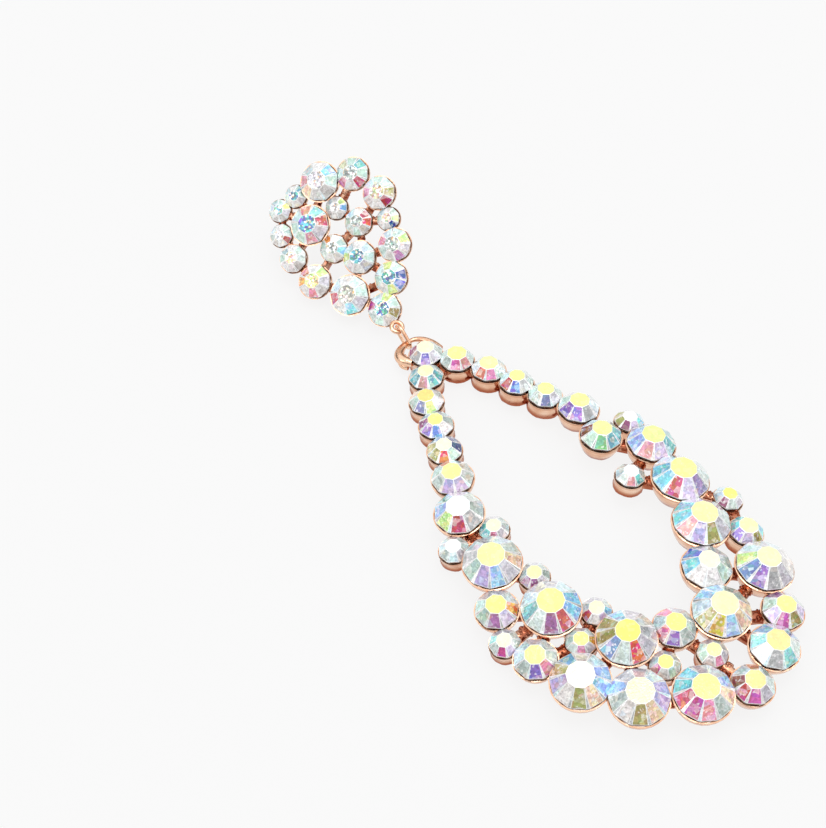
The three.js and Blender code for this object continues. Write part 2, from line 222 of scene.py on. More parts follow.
def drift(tree, geometry, scale, amount, seed, weight=1.0):
    """Moves a surface in and out along its normal by a soft noise, for the unevenness of a cast."""
    position = node(tree, "GeometryNodeInputPosition").outputs[0]
    noise = node(tree, "ShaderNodeTexNoise", {
        "Vector": position, "W": seed, "Scale": scale, "Detail": 2.0}, noise_dimensions="4D")
    push = math_of(tree, "MULTIPLY", math_of(tree, "SUBTRACT", noise.outputs[0], 0.5), weight)
    push = math_of(tree, "MULTIPLY", push, amount)
    normal = node(tree, "GeometryNodeInputNormal").outputs[0]
    offset = node(tree, "ShaderNodeVectorMath", {0: normal, "Scale": push}, operation="SCALE")
    return node(tree, "GeometryNodeSetPosition", {
        "Geometry": geometry, "Offset": offset.outputs[0]}).outputs[0]


def cup_tree():
    """A cup on every point, standing along the point's up."""
    tree, sizes = new_tree("cast_cups", Radius="Float", Wall="Float", Height="Float",
                           Floor="Float", Taper="Float")
    path = node(tree, "GeometryNodeCurvePrimitiveCircle", {
        "Resolution": CUP_SIDES, "Radius": math_of(
            tree, "SUBTRACT", sizes["Radius"], math_of(tree, "DIVIDE", sizes["Wall"], 2.0))})
    wall = node(tree, "GeometryNodeCurvePrimitiveQuadrilateral", {
        "Width": sizes["Wall"], "Height": sizes["Height"]})
    round_rim = node(tree, "GeometryNodeFilletCurve", {
        "Curve": wall.outputs[0],
        "Radius": math_of(tree, "MULTIPLY", sizes["Wall"], RIM_ROUNDING)})
    points = node(tree, "GeometryNodeResampleCurve", {
        "Curve": round_rim.outputs[0], "Count": WALL_STEPS})
    shell = node(tree, "GeometryNodeCurveToMesh", {
        "Curve": path.outputs[0], "Profile Curve": points.outputs[0]})

    # Each point moves in towards the cup's axis by its height over the foot
    position = node(tree, "GeometryNodeInputPosition").outputs[0]
    split = node(tree, "ShaderNodeSeparateXYZ", {0: position}).outputs
    height = math_of(tree, "ADD", math_of(tree, "DIVIDE", split[2], sizes["Height"]), 0.5)
    waist = node(tree, "ShaderNodeFloatCurve", {"Value": height})
    bends = waist.mapping.curves[0].points
    bends[0].location, bends[1].location = WAIST[0], WAIST[-1]
    for bend_place in WAIST[1:-1]:
        bends.new(*bend_place)
    waist.mapping.update()
    bowl = math_of(tree, "POWER", math_of(tree, "SUBTRACT", 1.0, height), BOWL)
    bowl = math_of(tree, "SUBTRACT", 1.0, bowl)
    is_bowl = math_of(tree, "LESS_THAN", sizes["Taper"], BOWL_TAPER)
    opening = node(tree, "ShaderNodeMix", {0: is_bowl, 2: waist.outputs[0], 3: bowl})
    spread = math_of(tree, "SUBTRACT", 1.0, sizes["Taper"])
    spread = math_of(tree, "MULTIPLY_ADD", opening.outputs[0], spread, sizes["Taper"])
    opened = node(tree, "ShaderNodeCombineXYZ", {
        0: math_of(tree, "MULTIPLY", split[0], spread),
        1: math_of(tree, "MULTIPLY", split[1], spread),
        2: math_of(tree, "MULTIPLY", height, sizes["Height"])})
    # The depth under the rim, which sets the plating's painted shade and how far the wall drifts
    marked = node(tree, "GeometryNodeStoreNamedAttribute", {
        "Geometry": shell.outputs[0], "Name": "low",
        "Value": math_of(tree, "SUBTRACT", 1.0, height)}, data_type="FLOAT", domain="POINT")
    shaped = node(tree, "GeometryNodeSetPosition", {
        "Geometry": marked.outputs[0], "Position": opened.outputs[0]})

    lift = node(tree, "ShaderNodeCombineXYZ", {
        2: math_of(tree, "MULTIPLY_ADD", sizes["Floor"], 0.5, FLOOR_OVER_FOOT * MM)})
    disc = node(tree, "GeometryNodeMeshCylinder", {
        "Vertices": CUP_SIDES, "Depth": sizes["Floor"],
        "Radius": math_of(tree, "MULTIPLY", math_of(
            tree, "SUBTRACT", sizes["Radius"], sizes["Wall"]), sizes["Taper"])})
    disc = node(tree, "GeometryNodeTransform", {
        "Geometry": disc.outputs[0], "Translation": lift.outputs[0]})
    cup = node(tree, "GeometryNodeJoinGeometry", {0: shaped.outputs[0]})
    tree.links.new(disc.outputs[0], cup.inputs[0])

    up = node(tree, "GeometryNodeInputNamedAttribute", {"Name": "up"}, data_type="FLOAT_VECTOR")
    turn = node(tree, "FunctionNodeAlignRotationToVector", {"Vector": up.outputs[0]}, axis="Z")
    cups = node(tree, "GeometryNodeInstanceOnPoints", {
        "Points": sizes["Geometry"], "Instance": cup.outputs[0], "Rotation": turn.outputs[0]})
    real = node(tree, "GeometryNodeRealizeInstances", {"Geometry": cups.outputs[0]})
    low = node(tree, "GeometryNodeInputNamedAttribute", {"Name": "low"}, data_type="FLOAT")
    mostly_low = math_of(tree, "POWER", low.outputs[0], 1.5)
    uneven = drift(tree, real.outputs[0], scale=1100, amount=0.3 * MM, seed=3, weight=mostly_low)
    end_tree(tree, sizes, uneven)
    return tree


def web_tree():
    """A thick waisted web along every edge, with cast grains strewn over its upper side."""
    tree, sizes = new_tree("solder_webs", Width="Float", Height="Float", Waist="Float",
                           Grain="Float", Grains="Float")
    line = node(tree, "GeometryNodeMeshToCurve", {"Mesh": sizes["Geometry"]})
    line = node(tree, "GeometryNodeResampleCurve", {
        "Curve": line.outputs[0], "Count": WEB_STEPS})
    line = node(tree, "GeometryNodeSetCurveNormal", {"Curve": line.outputs[0]}, mode="Z_UP")
    section = node(tree, "GeometryNodeCurvePrimitiveQuadrilateral", {
        "Width": sizes["Width"], "Height": sizes["Height"]})
    section = node(tree, "GeometryNodeFilletCurve", {
        "Curve": section.outputs[0],
        "Radius": math_of(tree, "MULTIPLY", sizes["Height"], WEB_ROUNDING)})
    section = node(tree, "GeometryNodeResampleCurve", {
        "Curve": section.outputs[0], "Count": WEB_SIDES})
    along = node(tree, "GeometryNodeSplineParameter").outputs["Factor"]
    arc = math_of(tree, "SINE", math_of(tree, "MULTIPLY", along, math.pi))
    waist = math_of(tree, "SUBTRACT", 1.0, math_of(tree, "MULTIPLY", arc, sizes["Waist"]))
    webs = node(tree, "GeometryNodeCurveToMesh", {
        "Curve": line.outputs[0], "Profile Curve": section.outputs[0], "Scale": waist,
        "Fill Caps": True})
    place = node(tree, "GeometryNodeInputPosition").outputs[0]
    # Each web is given a depth that varies by noise, for the painted shade in the plating's colour
    depth = node(tree, "ShaderNodeTexNoise", {"Vector": place, "Scale": 700.0, "Detail": 1.0})
    depth = node(tree, "ShaderNodeMapRange", {
        "Value": depth.outputs[0], "From Min": 0.3, "From Max": 0.6, "To Min": 0.5, "To Max": 0.95})
    webs = node(tree, "GeometryNodeStoreNamedAttribute", {
        "Geometry": webs.outputs[0], "Name": "low", "Value": depth.outputs[0]},
        data_type="FLOAT", domain="POINT")
    uneven = drift(tree, webs.outputs[0], scale=900, amount=0.5 * MM, seed=11)

    normal = node(tree, "GeometryNodeInputNormal").outputs[0]
    facing = node(tree, "ShaderNodeSeparateXYZ", {0: normal}).outputs[2]
    strewn = node(tree, "GeometryNodeDistributePointsOnFaces", {
        "Mesh": uneven, "Selection": math_of(tree, "GREATER_THAN", facing, 0.3),
        "Density": sizes["Grains"], "Seed": 7})
    grain = node(tree, "GeometryNodeMeshIcoSphere", {"Radius": sizes["Grain"], "Subdivisions": 1})
    grain = node(tree, "GeometryNodeSetShadeSmooth", {"Geometry": grain.outputs[0]})
    size = node(tree, "FunctionNodeRandomValue", {2: GRAIN_LEAST, 3: GRAIN_MOST},
                data_type="FLOAT")
    grains = node(tree, "GeometryNodeInstanceOnPoints", {
        "Points": strewn.outputs[0], "Instance": grain.outputs[0], "Scale": size.outputs[1]})
    both = node(tree, "GeometryNodeJoinGeometry", {0: uneven})
    tree.links.new(grains.outputs[0], both.inputs[0])
    end_tree(tree, sizes, both.outputs[0])
    return tree


def wire_tree():
    """A round wire along a line of edges, with each point's own radius."""
    tree, sizes = new_tree("round_wire", Closed="Bool")
    line = node(tree, "GeometryNodeMeshToCurve", {"Mesh": sizes["Geometry"]})
    radius = node(tree, "GeometryNodeInputNamedAttribute", {"Name": "thick"}, data_type="FLOAT")
    section = node(tree, "GeometryNodeCurvePrimitiveCircle", {
        "Resolution": WIRE_SIDES, "Radius": 1.0})
    wire = node(tree, "GeometryNodeCurveToMesh", {
        "Curve": line.outputs[0], "Profile Curve": section.outputs[0],
        "Scale": radius.outputs[0], "Fill Caps": True})
    end_tree(tree, sizes, wire.outputs[0])
    return tree


def linear(colour):
    """A colour written as it looks, from 0 to 255, as the amounts of light that it stands for."""
    return [c / 255 / 12.92 if c < 11 else ((c / 255 + 0.055) / 1.055) ** 2.4 for c in colour]


def new_material(name):
    material = bpy.data.materials.new(name)
    material.use_nodes = True
    tree = material.node_tree
    tree.nodes.clear()
    shader = tree.nodes.new("ShaderNodeBsdfPrincipled")
    node(tree, "ShaderNodeOutputMaterial", {0: shader.outputs[0]})
    return material, tree, shader.inputs, node(tree, "ShaderNodeTexCoord").outputs["Object"]


def ramp(tree, value, *stops):
    made = node(tree, "ShaderNodeValToRGB", {0: value})
    ends = made.color_ramp.elements
    while len(ends) < len(stops):
        ends.new(0.5)
    for element, (place, colour) in zip(ends, stops):
        element.position, element.color = place, (*linear(colour), 1)
    return made.outputs[0]


def rose_gold_plating():
    material, tree, shader, place = new_material("rose_gold_plating")
    cloud = node(tree, "ShaderNodeTexNoise", {"Vector": place, "Scale": 420.0, "Detail": 3.0})
    bright = ramp(tree, cloud.outputs[0], *ROSE_GOLD)
    # Painted shade: the plating turns a deep red brown by the depth stored in the cups and webs
    low = node(tree, "ShaderNodeAttribute", attribute_name="low")
    share = ramp(tree, low.outputs["Fac"], *PAINTED_SHADE_BY_DEPTH)
    deep = node(tree, "ShaderNodeMix", {
        0: share, 6: bright, 7: (*linear(PAINTED_SHADE_RED_BROWN), 1)}, data_type="RGBA")
    tree.links.new(deep.outputs[2], shader["Base Color"])
    shader["Metallic"].default_value = 1.0
    rough = node(tree, "ShaderNodeMapRange", {
        "Value": cloud.outputs[0], "From Min": 0.3, "From Max": 0.7, "To Min": 0.1,
        "To Max": 0.22})
    tree.links.new(rough.outputs[0], shader["Roughness"])
    pits = node(tree, "ShaderNodeTexNoise", {"Vector": place, "Scale": 2600.0, "Detail": 3.0})
    bump = node(tree, "ShaderNodeBump", {
        "Height": pits.outputs[0], "Strength": 0.35, "Distance": 0.12 * MM})
    tree.links.new(bump.outputs[0], shader["Normal"])
    return material


def cup_foot(seat):
    return seat.centre - seat.up * girdle_height(seat.size) * MM


def cup_points(seats):
    mesh = bpy.data.meshes.new("cup_feet")
    mesh.from_pydata([cup_foot(seat) for seat in seats], [], [])
    up = mesh.attributes.new("up", "FLOAT_VECTOR", "POINT")
    up.data.foreach_set("vector", [c for seat in seats for c in seat.up])
    return mesh


def web_lines(seats):
    """An edge between each two cups that stand close, unless a third cup lies between them."""
    lift = (WEB_LIFT + WEB_HEIGHT / 2) * MM
    ends = [cup_foot(seat) + seat.up * lift for seat in seats]
    reach = [(seat.size / 2 + CUP_BEYOND_STONE) * MM for seat in seats]
    edges = []
    for a in range(len(seats)):
        for b in range(a + 1, len(seats)):
            step = ends[b] - ends[a]
            if step.length - reach[a] - reach[b] > WEB_REACH * MM:
                continue
            crossed = False
            for c in set(range(len(seats))) - {a, b}:
                share = min(1, max(0, (ends[c] - ends[a]).dot(step) / step.length_squared))
                crossed = crossed or (ends[a] + step * share - ends[c]).length < reach[c]
            if not crossed:
                edges.append((a, b))
    mesh = bpy.data.meshes.new("web_lines")
    mesh.from_pydata(ends, edges, [])
    return mesh


def wire_line(points, thick, closed=False):
    mesh = bpy.data.meshes.new("wire_line")
    count = len(points)
    edges = [(i, (i + 1) % count) for i in range(count if closed else count - 1)]
    mesh.from_pydata(points, edges, [])
    radius = mesh.attributes.new("thick", "FLOAT", "POINT")
    radius.data.foreach_set("value", [t * MM for t in thick])
    return mesh


def made_piece(name, meshes, material, smooth=SHARP):
    """One object from plain meshes, kept above the sheet, and smooth but at its sharp edges."""
    shape = bmesh.new()
    for mesh in meshes:
        shape.from_mesh(mesh)
    for edge in shape.edges:
        edge.smooth = len(edge.link_faces) == 2 and edge.calc_face_angle(0) < smooth
    for vertex in shape.verts:
        vertex.co.z = max(0, vertex.co.z)
    for face in shape.faces:
        face.smooth = smooth > 0
        face.material_index = 0
    whole = bpy.data.meshes.new(name)
    shape.to_mesh(whole)
    shape.free()
    whole.materials.append(material)
    piece = bpy.data.objects.new(name, whole)
    bpy.context.scene.collection.objects.link(piece)
    return piece


rose_gold = rose_gold_plating()
cast_cups, solder_webs, round_wire = cup_tree(), web_tree(), wire_tree()


def casting_meshes(seats, tapers, web):
    meshes = []
    for size in sorted({seat.size for seat in seats}):
        feet = cup_points([seat for seat in seats if seat.size == size])
        meshes.append(grown(
            cast_cups, feet, rose_gold,
            Radius=(size / 2 + CUP_BEYOND_STONE) * MM, Wall=CUP_WALL * MM,
            Height=(girdle_height(size) - RIM_UNDER_GIRDLE) * MM, Floor=CUP_FLOOR * MM,
            Taper=tapers[size]))
    meshes.append(grown(
        solder_webs, web_lines(seats), rose_gold, Width=web * MM, Height=WEB_HEIGHT * MM,
        Waist=WEB_WAIST, Grain=GRAIN * MM, Grains=GRAINS))
    return meshes


# Link, bail and eye
# The drop's top cup carries a bail, a half loop of wire, and the stud's lowest cup an eye. An
# oval link of thinner wire, bent shut after it is threaded, passes round both.
LINK_WIRE = 0.6
LINK_SLACK = 0.25
LINK_STEPS = 40
BAIL_WIRE = 0.7
BAIL_HEIGHT = 2.1
BAIL_INSET = 0.225        # how far the bail's ends start inside their cup's wall
BAIL_ROOT = 0.25          # how much thicker its wire is at those ends
BAIL_ARM = 1.2            # how far the bail's left arm bows out
ARM_SWELL = 0.3           # and how much thicker it is there
BAIL_STEPS = 32
FILL_RADIUS = 0.65
FILL_DROP = 0.7           # the fill lies this far under the bail's wire
FILL_START, FILL_END = 0.76, 0.96   # on the bail's half turn, which ends on the left
FILL_OUT, FILL_BULGE = 0.3, 0.7
FILL_STEPS = 8
EYE_DROP = 0.1            # from the girdle's height to the eye's
EYE_STEPS = 32

# The link's middle, plane, length and width are those of its own solid
corners = solid_corners("link_ring")
link_middle = Vector(corners.mean(axis=0))
link_along, link_across = (Vector(v) for v in np.linalg.svd(corners - corners.mean(axis=0))[2][:2])
half_length = max(abs((Vector(c) - link_middle).dot(link_along)) for c in corners)
half_width = max(abs((Vector(c) - link_middle).dot(link_across)) for c in corners)
bend = half_width - LINK_WIRE / 2 * MM
link_points = []
for i in range(LINK_STEPS):
    angle = 2 * math.pi * (i + 0.5) / LINK_STEPS
    side = math.copysign(half_length - half_width, math.cos(angle))
    link_points.append(link_middle + link_along * (side + bend * math.cos(angle))
                       + link_across * bend * math.sin(angle))
link = made_piece("link", [grown(round_wire, wire_line(
    link_points, [LINK_WIRE / 2] * LINK_STEPS, closed=True), rose_gold, Closed=True)], rose_gold)

# From the top cup's wall to the bail's wire where the link hangs
loop_reach = bend / MM + LINK_SLACK + LINK_WIRE / 2


def bail_meshes(seat):
    """The loop, with its broad left arm, and the metal cast into the corner behind that arm."""
    turn = Vector((0, 0, 1)).rotation_difference(seat.up)
    half = seat.size / 2 + CUP_BEYOND_STONE
    points, thick = [], []
    for i in range(BAIL_STEPS + 1):
        angle = math.pi * i / BAIL_STEPS
        left = max(0, (angle / math.pi - 0.5) * 2) ** 1.4
        arm = math.sin(math.pi * left)
        root = abs(math.cos(angle)) ** 1.5
        place = Vector(((half - BAIL_INSET) * math.cos(angle) - BAIL_ARM * arm,
                        (half + loop_reach) * math.sin(angle), BAIL_HEIGHT))
        points.append(cup_foot(seat) + turn @ (place * MM))
        thick.append(BAIL_WIRE / 2 + BAIL_ROOT * root + ARM_SWELL * arm)
    fill = []
    for i in range(FILL_STEPS + 1):
        angle = math.pi * (FILL_START + (FILL_END - FILL_START) * i / FILL_STEPS)
        reach = half + FILL_OUT + FILL_BULGE * math.sin(math.pi * i / FILL_STEPS)
        place = Vector((reach * math.cos(angle), reach * math.sin(angle),
                        BAIL_HEIGHT - FILL_DROP))
        fill.append(cup_foot(seat) + turn @ (place * MM))
    return [grown(round_wire, wire_line(line, widths), rose_gold, Closed=False)
            for line, widths in ((points, thick), (fill, [FILL_RADIUS] * len(fill)))]


def eye_mesh(seat):
    """A ring through the link's upper end, on its way to the stud's lowest cup."""
    wire = max((link_middle + link_along * (half_length - half_width),
                link_middle - link_along * (half_length - half_width)), key=lambda end: end.y)
    axis = cup_foot(seat) + seat.up * (girdle_height(seat.size) - EYE_DROP) * MM
    inward = (axis - wire).normalized()
    across = link_along.cross(link_across)
    across = (across - inward * across.dot(inward)).normalized()
    centre = wire + inward * bend
    points = [centre + (across * math.cos(a) + inward * math.sin(a)) * bend
              for a in (2 * math.pi * i / EYE_STEPS for i in range(EYE_STEPS))]
    ring = wire_line(points, [BAIL_WIRE / 2] * EYE_STEPS, closed=True)
    return grown(round_wire, ring, rose_gold, Closed=True)


top_seat = next(seat for seat in drop_large if seat.name == "drop_stone_top")
last_seat = next(seat for seat in stud_large if seat.name == "stud_stone_small_7")
drop_casting = made_piece("drop_casting", casting_meshes(
    drop_large + drop_small, DROP_TAPER, DROP_WEB) + bail_meshes(top_seat), rose_gold)
stud_casting = made_piece("stud_casting", casting_meshes(
    stud_large + stud_small, STUD_TAPER, STUD_WEB) + [eye_mesh(last_seat)], rose_gold)
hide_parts("link_ring")
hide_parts("drop_frame")
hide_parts("stud_frame")
for piece in (drop_casting, stud_casting, link):
    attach(piece, "root")

# Stones
# Pointed-back crystals, machine cut with a flat table and one row of crown facets, foiled behind
# and coated so that they flash yellow, mint, violet and crimson. Each is glued into its cup. Their
# flashes are painted into the facets' colours, with painted reflections, glints, edge highlights
# and shade at the girdle.
BACK_SHARE = 0.28         # the pointed back's depth, of the stone's size
POINT = 0.04              # the flat at its tip, of the stone's width
GIRDLE = 0.3
STONE_FILL = 0.25         # how far the facets' corners reach past the stone's round size
CORNER = 0.09             # how far a corner facet runs into each facet beside it, of their width
EDGE = 0.05               # the softened edges
DROP_TABLE = {BIG: 0.505, LARGE: 0.53, MEDIUM: 0.54, SMALL: 0.565, TINY: 0.585}
DROP_CROWN = 0.265
TURNS_TRIED = 24

# The tables that are seen broader or narrower than the others of their size
TABLES = {"drop_stone_top": 1.04, "drop_stone_left_1": 0.94, "drop_stone_left_3": 0.9,
          "drop_stone_left_4": 0.92, "drop_stone_left_11": 0.89, "drop_stone_right_1": 1.17,
          "drop_stone_right_2": 1.13, "drop_stone_right_3": 0.94, "drop_stone_right_10": 1.1,
          "drop_stone_right_11": 0.87, "drop_stone_right_12": 0.9}
FACETS = {BIG: 10, LARGE: 8, MEDIUM: 8, SMALL: 8, TINY: 8, SEED: 8}
STUD_NAMES = {seat.name for seat in stud_large + stud_small}

# The faces are mottled in shards of painted reflection from inside the stone, finer in the stud's
# tables, and strewn with chips of painted glint. These are their numbers to a metre, and how
# strongly each kind of face shows them.
SHARDS, FINE_SHARDS, CHIPS = 1400.0, 2900.0, 3800.0
TABLE_SPARKLE = {"drop": 0.12, "stud": 1.4}
FACET_SPARKLE, CORNER_SPARKLE = 0.55, 0.6
SHARD_HUES = ((0.0, (112, 104, 92)), (0.14, (206, 186, 172)), (0.28, (238, 250, 246)),
              (0.42, (168, 208, 236)), (0.54, (250, 244, 196)), (0.66, (220, 190, 206)),
              (0.8, (255, 255, 255)), (0.9, (226, 160, 96)), (1.0, (122, 176, 160)))
# The small corner facets are painted as thin glint lines, mostly white or ice
CORNER_GLINTS = ("white", "ice", "grey", "pearl")
LEVEL, SLOPING = 0.95, 0.2   # how far a table's and a crown facet's normals point up
EDGE_HIGHLIGHT, GIRDLE_SHADE, FOIL_GREY = (244, 246, 246), (48, 32, 26), (150, 150, 150)

COLOURS = {
    "cream": (252, 251, 212), "pale yellow": (251, 252, 178), "yellow": (253, 251, 142),
    "bright yellow": (254, 254, 112), "golden": (253, 228, 128), "green yellow": (240, 250, 158),
    "apricot": (254, 224, 146), "white cyan": (232, 250, 246), "white": (248, 249, 250),
    "ice": (212, 240, 250), "sky": (150, 212, 250), "cyan": (140, 226, 246),
    "aqua": (160, 238, 238), "mint": (204, 236, 224), "lime": (214, 242, 150),
    "green": (130, 205, 150), "teal": (110, 190, 196), "blue": (110, 146, 228),
    "light blue": (160, 200, 246), "dark blue": (62, 86, 176), "steel blue": (110, 150, 196),
    "slate": (108, 120, 164), "violet": (150, 116, 204), "lavender": (188, 176, 226),
    "lilac": (208, 192, 226), "plum": (150, 72, 120), "mauve": (170, 110, 160),
    "magenta": (202, 84, 166), "crimson": (204, 80, 116), "pink": (240, 150, 184),
    "dusty pink": (200, 140, 146), "rose": (224, 152, 162), "red": (208, 76, 78),
    "salmon": (242, 160, 142), "orange red": (228, 92, 62), "orange": (242, 156, 72),
    "peach": (248, 214, 180), "gold": (224, 190, 74), "olive": (178, 172, 104),
    "brown": (150, 98, 78), "grey": (188, 190, 192), "grey lilac": (214, 211, 222),
    "grey mint": (206, 222, 217), "pearl": (232, 228, 226), "azure": (84, 160, 206),
    "deep teal": (64, 150, 166), "stone grey": (150, 164, 158), "warm grey": (176, 176, 162),
    "straw": (226, 210, 160),
}

# The table's colour, and the flashes with the clock hour at which each is seen
FLASHES = {
    "drop_stone_top": "cream, violet 6, plum 8.5, grey 7.5",
    "drop_stone_left_1": "pale yellow, dusty pink 6.5, teal 8.5, teal 4",
    "drop_stone_left_2": "golden, slate 7, mint 9, lime 5, peach 10",
    "drop_stone_left_3": "yellow, violet 7.5, blue 6, plum 8.5, pearl 4.5",
    "drop_stone_left_4": "cream, orange red 6, slate 2.5, olive 8, mint 4",
    "drop_stone_left_5": "yellow, lavender 6.5, mint 9",
    "drop_stone_left_6": "white cyan, crimson 6, lime 7.5, light blue 9, aqua 10, grey 4.5",
    "drop_stone_left_7": "green yellow, mint 8, light blue 6, lavender 7, peach 3, grey 9",
    "drop_stone_left_8": "yellow, mauve 6.3, orange 3, mint 8.5",
    "drop_stone_left_9": "yellow, mauve 6, crimson 4.8, grey mint 7.2, aqua 8.6, sky 3",
    "drop_stone_left_10": "yellow, violet 6, grey mint 8, pink 4",
    "drop_stone_left_11": "bright yellow, grey mint 6.5, olive 9.5, sky 10.5, steel blue 8,"
                          " orange red 4.8, grey 3",
    "drop_stone_left_12": "pale yellow, olive 6.2, cyan 10.5, olive 9.5, lavender 8.5, peach 5,"
                          " light blue 3",
    "drop_stone_bottom_1": "green yellow, olive 6, light blue 9.5, peach 4.5, lavender 3",
    "drop_stone_bottom_2": "yellow, violet 6.3, crimson 8.3, grey mint 4.5, pink 10.5",
    "drop_stone_bottom_3": "yellow, crimson 8.3, magenta 7, cyan 10, grey mint 4.5, peach 3.3,"
                           " light blue 2.3, pink 6",
    "drop_stone_bottom_4": "apricot, magenta 6, crimson 7.2, grey mint 3.5, brown 8.7, salmon 12",
    "drop_stone_right_1": "yellow, magenta 6.3, rose 5, mint 9",
    "drop_stone_right_2": "pale yellow, red 7.5, ice 9, mint 4, pink 6",
    "drop_stone_right_3": "yellow, blue 6.3, red 7.7, grey 4.5",
    "drop_stone_right_4": "yellow, slate 6, mint 9, grey lilac 4",
    "drop_stone_right_5": "yellow, violet 6.5, violet 8, grey 5, ice 3.5, mint 9.5",
    "drop_stone_right_6": "yellow, green 6.2, brown 9, mint 7.5, lilac 5, teal 4",
    "drop_stone_right_7": "green yellow, rose 7, light blue 9, mint 6, teal 3",
    "drop_stone_right_8": "yellow, crimson 7, cyan 9, lavender 4.5",
    "drop_stone_right_9": "pale yellow, rose 8, cyan 9.5, lavender 7, peach 6, olive 5",
    "drop_stone_right_10": "pale yellow, violet 8, lilac 6, olive 5, cyan 3.5, cyan 10",
    "drop_stone_right_11": "cream, blue 10, cyan 8.5, grey 6.5, mint 4",
    "drop_stone_right_12": "pale yellow, violet 7, steel blue 8.5, grey 5.5, pearl 3, lime 9.5",
    "drop_stone_right_13": "pale yellow, olive 8, gold 7, white 6, peach 3.5, light blue 5,"
                           " sky 10.7, mint 1.3",
    "drop_stone_right_14": "yellow, magenta 6.4, lavender 8, mint 9.3, mauve 10.8, olive 5,"
                           " lilac 3.5",
    "drop_stone_right_15": "apricot, white cyan 8, aqua 9.3, sky 10.7, grey 6, aqua 4.3,"
                           " light blue 1.7",
    "tiny_1": "white, plum 7, olive 9, cyan 3",
    "tiny_2": "white cyan, ice 6",
    "tiny_3": "cream, pink 6, teal 8.5",
    "tiny_4": "white cyan, rose 6, ice 9, teal 4",
    "tiny_5": "pale yellow, mauve 6, plum 8",
    "tiny_6": "bright yellow, plum 7.5, grey mint 5",
    "tiny_7": "cream, magenta 6.5, aqua 9",
    "tiny_8": "cream, crimson 8, sky 3.5",
    "tiny_9": "yellow, magenta 6, mint 9, gold 3",
    "tiny_10": "yellow, crimson 8, mint 5",
    "tiny_11": "pale yellow, pink 5, mint 9",
    "stud_stone_medium_1": "grey lilac, sky 1.5, white 12, rose 9.5, peach 8",
    "stud_stone_medium_2": "azure, red 2.5, aqua 0.5, salmon 11, mint 7, rose 5.5",
    "stud_stone_medium_3": "warm grey, mint 1, mint 3, teal 5, cyan 6, white 12, crimson 9",
    "stud_stone_small_1": "stone grey, mint 12, teal 2, red 4, pink 7.5, cream 10",
    "stud_stone_small_2": "straw, mint 12, olive 3, crimson 4.5, pink 8.5",
    "stud_stone_small_3": "yellow, red 10.5, lime 2, pink 6, grey lilac 3.5, orange 9",
    "stud_stone_small_4": "deep teal, lime 9, ice 1.5, grey lilac 4",
    "stud_stone_small_5": "stone grey, lime 2, pink 9, magenta 4.5",
    "stud_stone_small_6": "deep teal, dark blue 2.5, blue 4, lime 12, lime 6",
    "stud_stone_small_7": "deep teal, lime 12.5, olive 3, magenta 9, mint 6",
    "tiny_12": "teal, yellow 2",
    "tiny_13": "deep teal, teal 1",
    "tiny_14": "grey lilac, crimson 4",
    "tiny_15": "pearl, blue 3, lime 2",
    "tiny_16": "peach, grey mint 3",
    "tiny_17": "stone grey, orange 11, cyan 3",
    "tiny_18": "stone grey, crimson 1.5, orange red 3, mint 6",
    "tiny_19": "peach, lime 3, dark blue 4",
}

# What a facet shows where it doesn't flash, hour by hour from one to twelve
PALE = {
    "drop": ["ice", "grey mint", "grey mint", "grey lilac", "lilac", "pearl", "pearl",
             "grey mint", "ice", "ice", "grey lilac", "grey lilac"],
    "stud": ["mint", "mint", "mint", "grey lilac", "pearl", "pearl", "pearl", "grey mint",
             "mint", "ice", "ice", "white"],
}

# The hours are read on a clock that faces the viewer. These point to its three and its twelve.
VIEWED_FROM = math.radians(35.7)
THREE_O_CLOCK = Vector((math.cos(VIEWED_FROM), -math.sin(VIEWED_FROM), 0))
TWELVE_O_CLOCK = Vector((0.464, 0.645, 0.606))


def stone_tree():
    """The skin round rings of corners, from the pointed back up to the table."""
    tree, sizes = new_tree("cut_stone", Diameter="Float", Facets="Int", Table="Float",
                           Crown="Float", Back="Float", Girdle="Float")
    rings = node(tree, "GeometryNodeJoinGeometry")
    corner = math_of(tree, "DIVIDE", 2 * math.pi * CORNER, sizes["Facets"])
    other_corner = math_of(tree, "MULTIPLY", corner, -1.0)
    half = math_of(tree, "DIVIDE", sizes["Diameter"], 2.0)
    below = math_of(tree, "MULTIPLY", sizes["Girdle"], -1.0)
    levels = (
        (math_of(tree, "MULTIPLY", half, POINT), math_of(tree, "SUBTRACT", below, sizes["Back"]),
         0.0),
        (half, below, corner),
        (half, below, other_corner),
        (half, 0.0, corner),
        (half, 0.0, other_corner),
        (math_of(tree, "DIVIDE", sizes["Table"], 2.0), sizes["Crown"], 0.0),
    )
    for radius, height, turn in levels:
        ring = node(tree, "GeometryNodeMeshCircle", {
            "Vertices": sizes["Facets"], "Radius": radius})
        lift = node(tree, "ShaderNodeCombineXYZ", {2: height})
        about = node(tree, "ShaderNodeCombineXYZ", {2: turn})
        ring = node(tree, "GeometryNodeTransform", {
            "Geometry": ring.outputs[0], "Translation": lift.outputs[0],
            "Rotation": about.outputs[0]})
        tree.links.new(ring.outputs[0], rings.inputs[0])
    hull = node(tree, "GeometryNodeConvexHull", {"Geometry": rings.outputs[0]})
    end_tree(tree, sizes, hull.outputs[0])
    return tree


